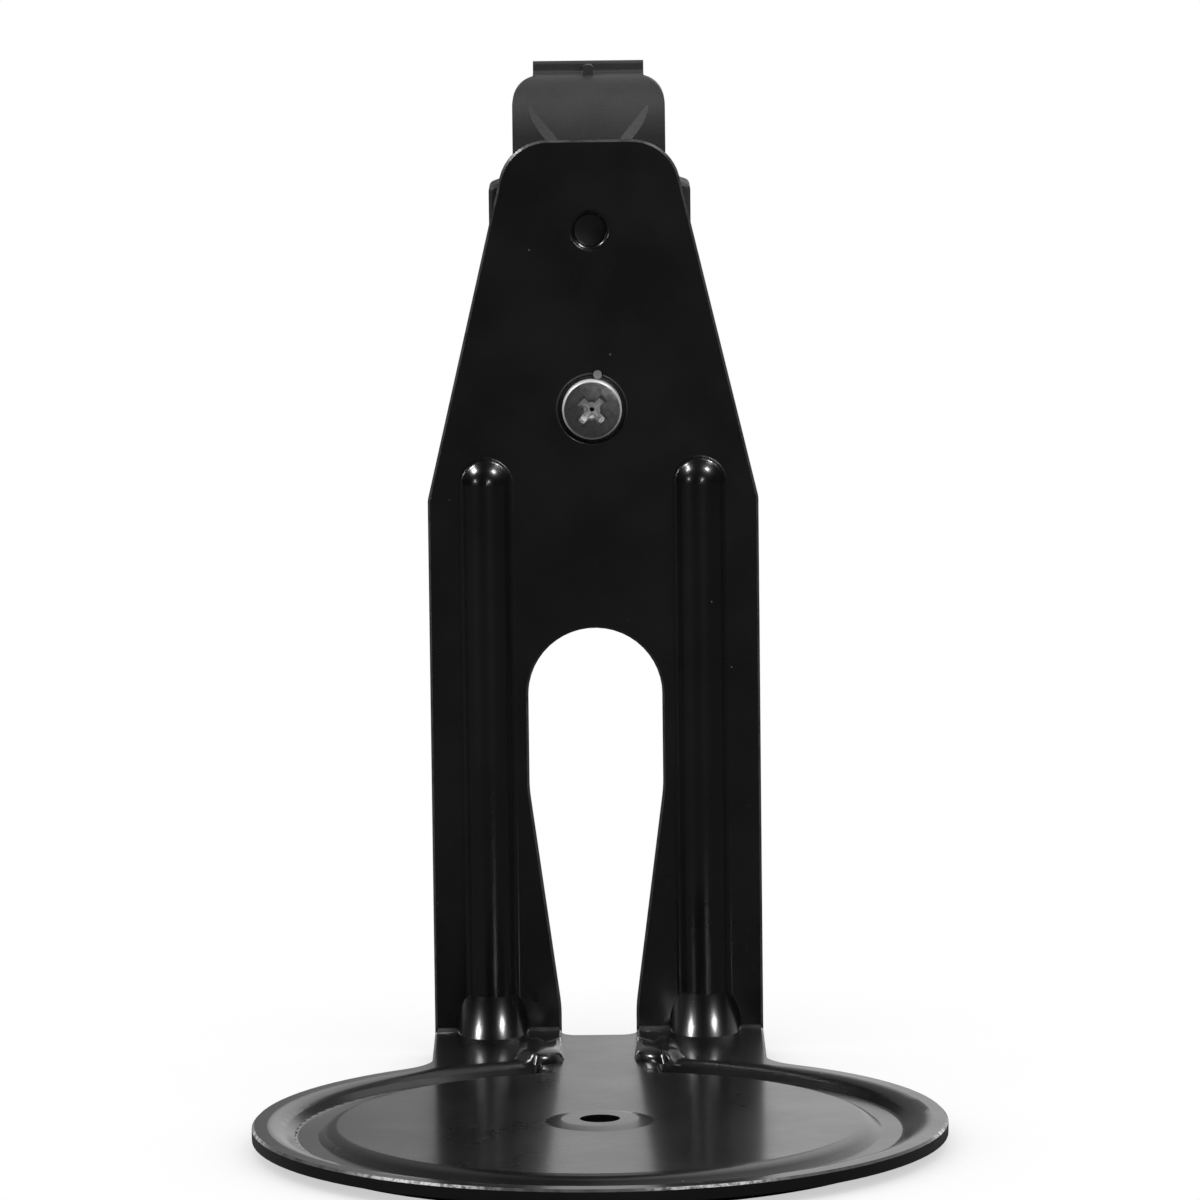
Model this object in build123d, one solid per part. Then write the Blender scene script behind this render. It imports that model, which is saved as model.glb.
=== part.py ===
from build123d import *
import os
from math import atan2, degrees

# Frame: origin at the middle of the base on the surface it stands on, +Z up along the upright,
# -Y towards the free side of the base, +Y towards the hook. Lengths are millimetres.

# Steel sheet
sheet = 2.0
bend_inside_radius = 0.5
edge_break = 0.35

# Round dished base
base_diameter = 100.0
recess_depth = 1.7
rim_band_width = 3.7
wall_run = 2.6
wall_shoulder_bend = 5.0
wall_toe_bend = 1.0
foot_ring_width = 3.2
plateau_rise = 0.35
plateau_step_rise = 0.2
plateau_step_run = 0.4
plateau_crown_run = 3.2
pad_radius = 7.8
pad_rise = 0.35
pad_ramp = 2.2
fixing_hole_diameter = 5.8
rim_seam_width = 1.6

# Neck, bend and upright
leg_span = 50.0
upright_reach = 70.8
neck_fillet = 10.0
head_height = 135.7
head_width = 24.4
head_corner_radius = 7.5
shoulder_height = 81.4
shoulder_radius = 2.5

# Window between the legs
window_width = 20.3
window_crown_height = 61.7
window_waist_height = 37.0
window_foot_height = 3.5
window_foot_gap = 11.4
window_side_radius = 20.0
window_setback = 3.4
window_floor_radius = 2.5

# Ribs down the legs and darts across the bend
rib_spacing = 32.3
rib_width = 7.1
rib_height = 2.2
rib_top_height = 87.3
rib_blend = 1.2
dart_radius = 5.5

# Raised noses beside the channel that leads from the recess to the window
nose_spacing = 19.6
nose_radius = 5.4
nose_rise = 0.9
nose_setback = 4.3
nose_length = 17.0
flare_length = 6.0
flare_radius = 4.0

# Locating dimple and screw seat in the head
dimple_height = 122.1
dimple_diameter = 4.7
dimple_lip = 0.85
dimple_depth = 1.6
screw_height = 95.1
seat_diameter = 10.2
seat_lip = 0.4
seat_depth = 1.0
boss_wall = 0.5
pip_diameter = 1.3
pip_radius_from_screw = 5.25
pip_side = 0.9
pip_clearance = 0.15
pip_stand = 0.4

# Pan-head screw and hexagon nut
screw_diameter = 5.0
screw_length = 10.0
screw_hole_diameter = 5.5
screw_point = 0.6
screw_head_diameter = 9.0
screw_head_height = 3.3
screw_crown_diameter = 5.0
screw_crown_rise = 0.2
screw_head_bevel = 0.45
cross_width = 5.2
cross_floor_width = 2.2
cross_wing = 1.5
cross_depth = 2.2
cross_turn = 45.0
nut_across_flats = 8.0
nut_thickness = 4.0
thread_clearance = 0.1

# Moulded bracket with its hooded arm
bracket_depth = 10.0
bracket_width = 30.4
bracket_below_screw = 12.0
bracket_top_slope = 1.3
bracket_corner_radius = 6.0
bracket_panel = 2.4
bracket_wall = 1.8
bracket_edge_break = 0.5
groove_inset = 0.95
groove_width = 0.5
groove_depth = 0.5
hood_width = 23.0
hood_top_height = 144.7
hood_rise = 14.8
hood_overlap = 7.8
hood_corner_radius = 4.0
hood_roll = 8.5
hood_back = 6.0
scoop_foot_drop = 11.7
scoop_foot_width = 5.0
scoop_top_width = 20.0
scoop_slope = 1.21
scoop_depth = 1.4
scoop_draft = 45.0
tongue_width = 16.8
tongue_thickness = 2.6
tongue_length = 7.0
tongue_edge_radius = 0.5
lip_height = 1.8
lip_thickness = 2.2
nib_width = 1.5
nib_height = 1.6
nib_length = 3.0
boss_diameter = 13.5
boss_lead = 0.8
rib_thickness = 1.6
socket_clearance = 0.2
pocket_clearance = 0.1

# Levels and places worked out from the sizes above
rim_radius = base_diameter / 2
rim_top = recess_depth + sheet
floor_top = sheet
plateau_top = floor_top + plateau_rise
wall_shoulder_radius = rim_radius - rim_band_width
wall_toe_radius = wall_shoulder_radius - wall_run
plateau_radius = wall_toe_radius - foot_ring_width
seam_radius = rim_radius - rim_seam_width
head_face = upright_reach
head_back = upright_reach + sheet
head_top = rim_top + head_height
window_floor = upright_reach - window_setback
screw_level = rim_top + screw_height
dimple_level = rim_top + dimple_height
rib_radius = rib_height / 2 + rib_width**2 / (8 * rib_height)
rib_axis = head_face + rib_radius - rib_height
rib_dome = rim_top + rib_top_height - rib_width / 2
rib_foot = rim_top + dart_radius / 2
nose_axis = rim_top + nose_rise - nose_radius
nose_reach = wall_toe_radius + nose_setback
seat_face = head_face + seat_depth
bracket_front = head_back + bracket_depth
bracket_bottom = screw_level - bracket_below_screw
hood_top = rim_top + hood_top_height
bracket_top = hood_top - hood_rise
hood_root = bracket_top - hood_overlap
screw_tip = seat_face + screw_length
nut_front = screw_tip - boss_lead
nut_back = nut_front - nut_thickness
pip_rise = (pip_radius_from_screw**2 - pip_side**2) ** 0.5
far = 200.0
touch = 0.01
seam_behind = Rot(0, 0, 90)


def facing(y):
    """Plane across the upright at y: local x is +X, local y is +Z and its normal is -Y."""
    return Plane(origin=(0, y, 0), x_dir=(1, 0, 0), z_dir=(0, -1, 0))


def closed(line):
    """Face inside an open run of edges whose ends are joined by a straight line."""
    return make_face(line + Line(line @ 1, line @ 0))


def slab(x, y, z):
    """Box between two values on each axis."""
    size = [high - low for low, high in (x, y, z)]
    return Pos(x[0], y[0], z[0]) * Box(*size, align=Align.MIN)


def both_sides(form):
    """The form and its mirror image across the middle plane."""
    return form + mirror(form, Plane.YZ)


def base_dish():
    """Middle of the base: pad, plateau, foot ring and recess wall, revolved at one thickness."""
    upper = [
        (fixing_hole_diameter / 2, plateau_top + pad_rise),
        (pad_radius - pad_ramp, plateau_top + pad_rise),
        (pad_radius, plateau_top),
        (plateau_radius - plateau_crown_run, plateau_top),
        (plateau_radius - plateau_step_run, floor_top + plateau_step_rise),
        (plateau_radius, floor_top),
        (wall_toe_radius, floor_top),
        (wall_shoulder_radius, rim_top),
        (seam_radius, rim_top),
    ]
    top = FilletPolyline(*upper, radius=[0, 0, 0, 0, 0, wall_toe_bend, wall_shoulder_bend])
    turn = sheet * recess_depth / (wall_run + (wall_run**2 + recess_depth**2) ** 0.5)
    lower = [(r, z - sheet) for r, z in upper]
    for corner in (-3, -2):
        lower[corner] = (lower[corner][0] + turn, lower[corner][1])
    under = Polyline(*lower)
    ends = Line(top @ 0, under @ 0) + Line(top @ 1, under @ 1)
    return revolve(make_face(Plane.XZ * (top + under + ends)), Axis.Z)


def channel_outline():
    """Plan of the gap between the two neck strips: narrow at the bend, flared towards the recess."""
    gap = window_foot_gap / 2
    wide = nose_spacing / 2
    start = window_floor - window_setback
    side = [(gap, far), (gap, start), (wide, start - flare_length), (wide, 0)]
    right = FilletPolyline(*side, radius=[flare_radius, flare_radius])
    left = mirror(right, Plane.YZ)
    return make_face(right + left + Line(right @ 0, left @ 0) + Line(right @ 1, left @ 1))


def window_outline():
    """Front view of the window: round crown, straight sides and a taper to the feet."""
    half = window_width / 2
    spring = rim_top + window_crown_height - half
    gap = window_foot_gap / 2
    side = [
        (gap, -far),
        (gap, rim_top + window_foot_height),
        (half, rim_top + window_waist_height),
        (half, spring),
    ]
    right = FilletPolyline(*side, radius=[window_side_radius, window_side_radius])
    left = mirror(right, Plane.YZ)
    crown = ThreePointArc((half, spring), (0, spring + half), (-half, spring))
    return make_face(right + crown + left + Line(right @ 0, left @ 0))


def upright_outline():
    """Front view of the upright: straight legs, sloping shoulders and a rounded head."""
    half = leg_span / 2
    top = head_width / 2
    shoulder = rim_top + shoulder_height
    points = [(-half, -far), (-half, shoulder), (-top, head_top)]
    points += [(-x, z) for x, z in reversed(points)]
    radii = [shoulder_radius, head_corner_radius, head_corner_radius, shoulder_radius]
    return closed(FilletPolyline(*points, radius=radii))


def boundary(faces):
    """Edges where a run of faces meets the rest of the sheet."""
    runs = [edge for face in faces for edge in face.edges()]
    return [edge for edge in runs if runs.count(edge) == 1]


def bent_strip():
    """Neck, bend and upright at the full width of the legs, cut to the front outline."""
    inner = [(0, rim_top), (head_face, rim_top), (head_face, head_top)]
    outer = [(0, rim_top - sheet), (head_back, rim_top - sheet), (head_back, head_top)]
    inside = FilletPolyline(*inner, radius=bend_inside_radius)
    outside = FilletPolyline(*outer, radius=bend_inside_radius + sheet)
    ends = Line(inside @ 0, outside @ 0) + Line(inside @ 1, outside @ 1)
    strip = extrude(Plane.YZ * make_face(inside + outside + ends), leg_span / 2, both=True)
    return strip & extrude(facing(head_back) * upright_outline(), far)


def sheet_blank():
    """Rim band, neck strips, bend and upright as one bent sheet with its front edges broken."""
    bend_start = head_face - bend_inside_radius
    plan = Circle(rim_radius) + Rectangle(leg_span, head_face, align=(Align.CENTER, Align.MIN))
    crotch = plan.vertices().filter_by_position(Axis.Y, touch, bend_start)
    plan = fillet(crotch, neck_fillet)
    rim = Pos(0, 0, rim_top - sheet) * extrude(plan, sheet)
    rim &= slab((-far, far), (-far, bend_start), (-far, far))
    blank = rim + bent_strip()
    blank -= extrude(Circle(seam_radius), far)
    blank -= extrude(channel_outline(), rim_top + bend_inside_radius)
    blank -= extrude(facing(head_back) * window_outline(), sheet + bend_inside_radius)
    faces = blank.faces()
    top = faces.filter_by(Plane.XY).filter_by_position(Axis.Z, rim_top - touch, rim_top + touch)
    front = faces.filter_by(Plane.XZ).filter_by_position(Axis.Y, head_face - touch, head_face + touch)
    bend = faces.filter_by(GeomType.CYLINDER).filter_by_position(Axis.Y, bend_start, head_face)
    bend = bend.filter_by_position(Axis.Z, rim_top, rim_top + bend_inside_radius)
    seam = [edge for edge in top.edges().filter_by(GeomType.CIRCLE)
            if abs(edge.radius - seam_radius) < touch]
    worn = [edge for edge in boundary(top + front + bend) if edge not in seam]
    return chamfer(worn, edge_break)


def channel_floor():
    """Floor of the channel at the foot ring's level, ending in a round-cornered edge at the window."""
    plan = Rectangle(nose_spacing, 2 * (window_floor + window_floor_radius))
    plan -= Rectangle(nose_spacing, 2 * (wall_toe_radius - foot_ring_width / 2))
    plan &= Pos(0, far / 2) * Rectangle(nose_spacing, far)
    opening = Pos(0, window_floor) * Rectangle(window_foot_gap, far, align=(Align.CENTER, Align.MIN))
    corners = opening.vertices().group_by(Axis.Y)[0]
    return extrude(plan - fillet(corners, window_floor_radius), floor_top)


def channel_trench():
    """Space that the channel opens through the recess wall and the rim band."""
    plan = channel_outline() - Circle(wall_toe_radius - foot_ring_width / 2)
    return Pos(0, 0, floor_top) * extrude(plan, recess_depth + touch)


def nose_form(radius):
    """Round-ended ridge beside the channel, sinking to the neck's level towards the bend."""
    tilt = degrees(atan2(nose_rise, nose_length))
    outline = CenterArc((0, 0), radius, -90, 90) + Line((radius, 0), (radius, nose_length))
    outline += CenterArc((0, nose_length), radius, 0, 90)
    ridge = revolve(make_face(Plane.XZ * (outline + Line((0, nose_length + radius), (0, -radius)))), Axis.Z)
    return Pos(nose_spacing / 2, nose_reach, nose_axis) * Rot(-90 - tilt, 0, 0) * ridge


def noses():
    """Outer skin of both noses, kept above the undersides of the neck and of the channel floor."""
    axis = nose_spacing / 2
    room = slab((axis, far), (0, window_floor), (rim_top - sheet, far))
    room += slab((0, axis), (0, window_floor), (0, far))
    return both_sides(nose_form(nose_radius) & room)


def rib_section():
    """Half section across a rib: round crown, sloped blend onto the sheet and root inside the sheet."""
    drop = rib_radius - rib_height
    rise = drop + rib_blend
    reach = ((rib_radius + rib_blend) ** 2 - rise**2) ** 0.5
    start = degrees(atan2(rise, reach))
    crown = CenterArc((0, -drop), rib_radius, start, 90 - start)
    root = Polyline(crown @ 0, (reach, 0), (reach, -sheet / 2), (0, -sheet / 2), crown @ 1)
    return make_face(crown + root)


def rib_skin():
    """Outer form of one rib, down from its domed upper end to the dart at its foot."""
    across = Plane(origin=(rib_spacing / 2, head_face, rib_dome), x_dir=(1, 0, 0), z_dir=(0, 0, -1))
    half = rib_section()
    return across * (revolve(half, Axis.Y) + extrude(both_sides(half), rib_dome - rib_foot))


def rib_hollow():
    """Hollow behind one rib."""
    bore = rib_radius - sheet
    ease = bore * 0.5**0.5
    foot = rib_foot - rib_dome
    points = [(0, foot), (bore, foot), (bore, 0), (ease, ease), (0, bore)]
    form = revolve(make_face(Plane.XZ * Polyline(*points, close=True)), Axis.Z)
    return Pos(rib_spacing / 2, rib_axis, rib_dome) * seam_behind * form


def dart_form(radius):
    """Round gusset at half a right angle across the bend at the foot of a rib."""
    place = Pos(rib_spacing / 2, head_face, rim_top) * Rot(-45, 0, 0)
    return place * seam_behind * Cylinder(radius, 4 * dart_radius)


def ribbed(stand):
    """The sheet with its ribs and darts pressed forward and hollow behind."""
    inside = slab((-far, far), (0, head_face + sheet / 2), (rim_top - sheet / 2, far))
    stand += both_sides(rib_skin())
    stand += both_sides(dart_form(dart_radius) & inside)
    return stand - both_sides(dart_form(dart_radius - sheet) + rib_hollow())


def turned(points, level):
    """Solid turned about a line along Y at a level of the head, from (radius, y) corners."""
    return Pos(0, 0, level) * revolve(make_face(Polyline(*points, close=True)), Axis.Y)


def sunk(stand, level, inner, lip, depth, boss_end):
    """The head with a round-lipped sinking pressed through to a low boss on the far face."""
    boss = [(0, head_face), (inner + boss_wall, head_face), (inner + boss_wall, boss_end), (0, boss_end)]
    stand += turned(boss, level) & slab((-far, far), (head_back - boss_wall, far), (0, far))
    ease = lip * (1 - 0.5**0.5)
    mouth = head_face - lip
    floor = head_face + depth
    cup = [
        (0, mouth),
        (inner + lip, mouth),
        (inner + lip, head_face),
        (inner + ease, head_face + ease),
        (inner, head_face + lip),
        (inner, floor),
        (0, floor),
    ]
    return stand - turned(cup, level)


def sunk_head(stand):
    """The head with its locating dimple, its screw seat, the screw's hole and the hole for the pip."""
    dimple_end = head_back + dimple_depth - boss_wall
    stand = sunk(stand, dimple_level, dimple_diameter / 2, dimple_lip, dimple_depth, dimple_end)
    stand = sunk(stand, screw_level, seat_diameter / 2, seat_lip, seat_depth, head_back + seat_depth)
    stand -= drilled(screw_hole_diameter, 0, screw_level)
    return stand - drilled(pip_diameter + 2 * pip_clearance, pip_side, screw_level + pip_rise)


def drilled(diameter, x, z):
    """Drill through the head along Y."""
    return extrude(facing(head_face + far / 2) * Pos(x, z) * Circle(diameter / 2), far)


def pressed_stand():
    """Whole pressing: the blank with its dish, channel, ribs, darts, dimple and screw seat."""
    stand = sheet_blank() + (base_dish() - channel_trench())
    stand += channel_floor() + noses()
    stand -= both_sides(nose_form(nose_radius - sheet))
    return sunk_head(ribbed(stand))


def plate_outline():
    """Front view of the moulding's plate: rounded lower corners, top edges rising into the hood."""
    half = bracket_width / 2
    corner = bracket_top - bracket_top_slope
    ridge = corner + half * bracket_top_slope / (half - hood_width / 2)
    points = [(-half, corner), (-half, bracket_bottom), (half, bracket_bottom), (half, corner), (0, ridge)]
    low = bracket_corner_radius
    high = 2 * bracket_edge_break
    return make_face(FilletPolyline(*points, radius=[high, low, low, high, 0], close=True))


def hood_outline():
    """Front view of the hooded arm, from its root in the plate to its rounded top."""
    half = hood_width / 2
    points = [(half, hood_root), (half, hood_top), (-half, hood_top), (-half, hood_root)]
    radii = [0, hood_corner_radius, hood_corner_radius, 0]
    return make_face(FilletPolyline(*points, radius=radii, close=True))


def plate_block():
    """Solid plate with its back edges broken."""
    block = extrude(facing(bracket_front) * plate_outline(), bracket_depth)
    back = block.faces().sort_by(Axis.Y)[0]
    return chamfer(back.edges(), bracket_edge_break)


def hood_block():
    """Solid hood, rolled over from its back to its top."""
    side = [
        (head_back, hood_root),
        (head_back, hood_top),
        (bracket_front, hood_top),
        (bracket_front, hood_root),
    ]
    profile = make_face(Plane.YZ * FilletPolyline(*side, radius=[0, hood_roll, 0, 0], close=True))
    block = extrude(profile, hood_width / 2, both=True)
    return block & extrude(facing(bracket_front) * hood_outline(), bracket_depth)


def bracket_hollow():
    """Open front of the moulding, shallower inside the hood."""
    plate_room = facing(bracket_front) * offset(plate_outline(), -bracket_wall)
    hood_room = facing(bracket_front) * offset(hood_outline(), -bracket_wall)
    room = extrude(plate_room, bracket_depth - bracket_panel)
    room &= slab((-far, far), (0, far), (0, bracket_top - bracket_wall))
    return room + extrude(hood_room, bracket_depth - hood_back)


def back_groove():
    """Fine groove just inside the edge of the plate's back."""
    ring = offset(plate_outline(), -groove_inset) - offset(plate_outline(), -groove_inset - groove_width)
    groove = extrude(facing(head_back + groove_depth) * ring, groove_depth)
    below_hood = bracket_top - bracket_top_slope - groove_inset
    return groove & slab((-far, far), (0, far), (0, below_hood))


def hood_scoop():
    """Sunk middle of the hood's back, narrowing downwards between sloping sides."""
    low = hood_top - scoop_foot_drop
    high = low + (scoop_top_width - scoop_foot_width) / 2 * scoop_slope
    top = scoop_top_width / 2
    foot = scoop_foot_width / 2
    floor = Polyline((-top, high), (-foot, low), (foot, low), (top, high), close=True)
    return extrude(facing(head_back + scoop_depth) * make_face(floor), 2 * scoop_depth, taper=-scoop_draft)


def hook():
    """Tongue at the hood's top with its upturned lip, and the small nib between hood and lip."""
    root = bracket_front - bracket_wall
    tip = bracket_front + tongue_length
    low = hood_top - tongue_thickness
    side = [
        (root, low),
        (root, hood_top),
        (tip - lip_thickness, hood_top),
        (tip - lip_thickness, hood_top + lip_height),
        (tip, hood_top + lip_height),
        (tip, low),
    ]
    soft = tongue_edge_radius
    radii = [0, 0, soft, soft, 2 * soft, soft]
    section = make_face(Plane.YZ * FilletPolyline(*side, radius=radii, close=True))
    tongue = extrude(section, tongue_width / 2, both=True)
    nib = slab((-nib_width / 2, nib_width / 2), (root, root + nib_length), (low, hood_top + nib_height))
    crown = nib.edges().filter_by(Axis.Y).group_by(Axis.Z)[-1]
    return tongue + fillet(crown, nib_width / 3)


def hexagon(across_flats, front, thickness):
    """Hexagonal prism along Y on the screw's axis."""
    flat = facing(front) * Pos(0, screw_level) * RegularPolygon(across_flats / 2, 6, major_radius=False)
    return extrude(flat, thickness)


def barrel(diameter, back, front, z):
    """Round bar along Y in the middle plane."""
    return extrude(facing(front) * Pos(0, z) * Circle(diameter / 2), front - back)


def hook_bracket():
    """Whole moulding: hollow block, screw boss, ribs, sockets for the pressed bosses, pip and hook."""
    web = bracket_front - bracket_wall
    half_rib = rib_thickness / 2
    ribs = slab((-half_rib, half_rib), (0, web), (0, hood_top))
    ribs += slab((-far, far), (0, web), (screw_level - half_rib, screw_level + half_rib))
    dimple_socket = dimple_diameter + 2 * (boss_wall + socket_clearance)
    dimple_floor = head_back + dimple_depth - boss_wall + socket_clearance
    seat_socket = seat_diameter + 2 * (boss_wall + socket_clearance)
    seat_floor = head_back + seat_depth + socket_clearance
    kept = ribs + barrel(boss_diameter, 0, screw_tip, screw_level)
    kept += barrel(dimple_socket + 2 * bracket_wall, 0, dimple_floor + bracket_panel, dimple_level)
    body = plate_block() + hood_block() - (bracket_hollow() - kept)
    body = body - back_groove() - hood_scoop() + hook()
    body -= barrel(seat_socket, 0, seat_floor, screw_level)
    body -= barrel(dimple_socket, 0, dimple_floor, dimple_level)
    body -= barrel(screw_hole_diameter, 0, far, screw_level)
    body -= hexagon(nut_across_flats + 2 * pocket_clearance, far, far - nut_back)
    pip = barrel(pip_diameter, head_face - pip_stand, seat_floor + touch, screw_level + pip_rise)
    return body + Pos(pip_side, 0, 0) * pip


def clamp_screw():
    """Pan-head screw with its cross recess turned to the slant."""
    shank = screw_diameter / 2
    head = screw_head_diameter / 2
    crown = seat_face - screw_head_height
    brow = crown + screw_crown_rise
    points = [
        (0, screw_tip),
        (shank - screw_point, screw_tip),
        (shank, screw_tip - screw_point),
        (shank, seat_face),
        (head, seat_face),
        (head, brow + screw_head_bevel),
        (head - screw_head_bevel, brow),
        (screw_crown_diameter / 2, crown),
        (0, crown),
    ]
    screw = turned(points, screw_level)
    mouth = cross_width / 2
    foot = cross_floor_width / 2
    deep = crown + cross_depth
    wing = Polyline((-mouth, crown), (mouth, crown), (foot, deep), (-foot, deep), close=True)
    blade = extrude(make_face(wing), cross_wing / 2, both=True)
    cross = Rot(0, cross_turn, 0) * (blade + Rot(0, 90, 0) * blade)
    return screw - Pos(0, 0, screw_level) * cross


def clamp_nut():
    """Hexagon nut with a plain bore."""
    blank = hexagon(nut_across_flats, nut_front, nut_thickness)
    return blank - barrel(screw_diameter + 2 * thread_clearance, 0, far, screw_level)


nodes = {
    "pressed_stand": pressed_stand,
    "hook_bracket": hook_bracket,
    "clamp_screw": clamp_screw,
    "clamp_nut": clamp_nut,
}

if __name__ == "__main__":
    os.makedirs("parts", exist_ok=True)
    for name, build in nodes.items():
        export_step(build(), f"parts/{name}.step")
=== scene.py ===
import logging
import math
from dataclasses import dataclass, field
from enum import Enum
from typing import Any, Union

import bpy
from mathutils import Matrix, Vector


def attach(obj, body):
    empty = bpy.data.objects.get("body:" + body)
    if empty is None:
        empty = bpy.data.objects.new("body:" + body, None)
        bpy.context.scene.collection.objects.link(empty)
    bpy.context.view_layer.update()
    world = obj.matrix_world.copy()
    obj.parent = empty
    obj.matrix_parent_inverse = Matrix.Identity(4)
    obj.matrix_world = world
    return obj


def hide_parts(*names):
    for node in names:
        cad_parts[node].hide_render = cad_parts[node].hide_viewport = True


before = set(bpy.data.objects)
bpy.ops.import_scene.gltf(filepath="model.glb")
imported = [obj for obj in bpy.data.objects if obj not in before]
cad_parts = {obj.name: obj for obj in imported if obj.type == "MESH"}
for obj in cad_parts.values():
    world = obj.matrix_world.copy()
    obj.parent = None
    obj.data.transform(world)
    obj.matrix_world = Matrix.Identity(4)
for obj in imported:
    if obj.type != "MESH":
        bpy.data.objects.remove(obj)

log = logging.getLogger("bracket")

MM = 0.001
BODY = "root"
# Lighter colour on worn broken edges, partly a painted highlight, and on the legs' inside crease, a
# painted highlight.
EDGE_AND_HIGHLIGHT_MARK = "worn_edge_and_highlight"
CURVE_MARK = "true_curve"
WELD = 0.002 * MM
FLAT_WEIGHT = 50


class Node(Enum):
    """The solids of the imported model."""

    STAND = "pressed_stand"
    BRACKET = "hook_bracket"
    SCREW = "clamp_screw"
    NUT = "clamp_nut"


class Slot(Enum):
    """The finishes that the record names."""

    PAINT = "black_paint"
    PLASTIC = "grey_plastic"
    SCREW = "zinc_screw"
    NUT = "zinc_nut"


class Cut(Enum):
    """The ways in which a tool shapes a piece."""

    AWAY = "DIFFERENCE"
    WITHIN = "INTERSECT"


Number = Union[int, float]


class Socket:
    """A shader output that takes part in Python arithmetic."""

    def __init__(self, shop: "Shop", output: bpy.types.NodeSocket) -> None:
        """Keep the output and the shop that adds nodes beside it."""
        self.shop = shop
        self.output = output

    def _math(self, operation: str, first: Any, second: Any = 0.0) -> "Socket":
        """Add one Math node.

        Args:
            operation: Name of the Math operation.
            first: A socket or a number.
            second: A socket or a number.

        Returns:
            The node's result.
        """
        return self.shop.node("ShaderNodeMath", {"operation": operation}, {0: first, 1: second})

    def __add__(self, other: Any) -> "Socket":
        """Sum of two values."""
        return self._math("ADD", self, other)

    def __radd__(self, other: Any) -> "Socket":
        """Sum, with the number first."""
        return self._math("ADD", other, self)

    def __sub__(self, other: Any) -> "Socket":
        """Difference of two values."""
        return self._math("SUBTRACT", self, other)

    def __rsub__(self, other: Any) -> "Socket":
        """Difference, with the number first."""
        return self._math("SUBTRACT", other, self)

    def __mul__(self, other: Any) -> "Socket":
        """Product of two values."""
        return self._math("MULTIPLY", self, other)

    def __rmul__(self, other: Any) -> "Socket":
        """Product, with the number first."""
        return self._math("MULTIPLY", other, self)

    def __gt__(self, other: Any) -> "Socket":
        """One where this value is the greater, else zero."""
        return self._math("GREATER_THAN", self, other)

    def __lt__(self, other: Any) -> "Socket":
        """One where this value is the smaller, else zero."""
        return self._math("LESS_THAN", self, other)

    def most(self, other: Any) -> "Socket":
        """The greater of two values."""
        return self._math("MAXIMUM", self, other)

    def ramp(self, low: Number, high: Number, start: Number = 0.0, end: Number = 1.0) -> "Socket":
        """Spread a range smoothly over another one.

        Args:
            low: Value that gives the start.
            high: Value that gives the end.
            start: Result at and below the low value.
            end: Result at and above the high value.

        Returns:
            The eased result.
        """
        return self.shop.node(
            "ShaderNodeMapRange",
            {"interpolation_type": "SMOOTHSTEP"},
            {"Value": self, "From Min": low, "From Max": high, "To Min": start, "To Max": end},
        )


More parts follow.
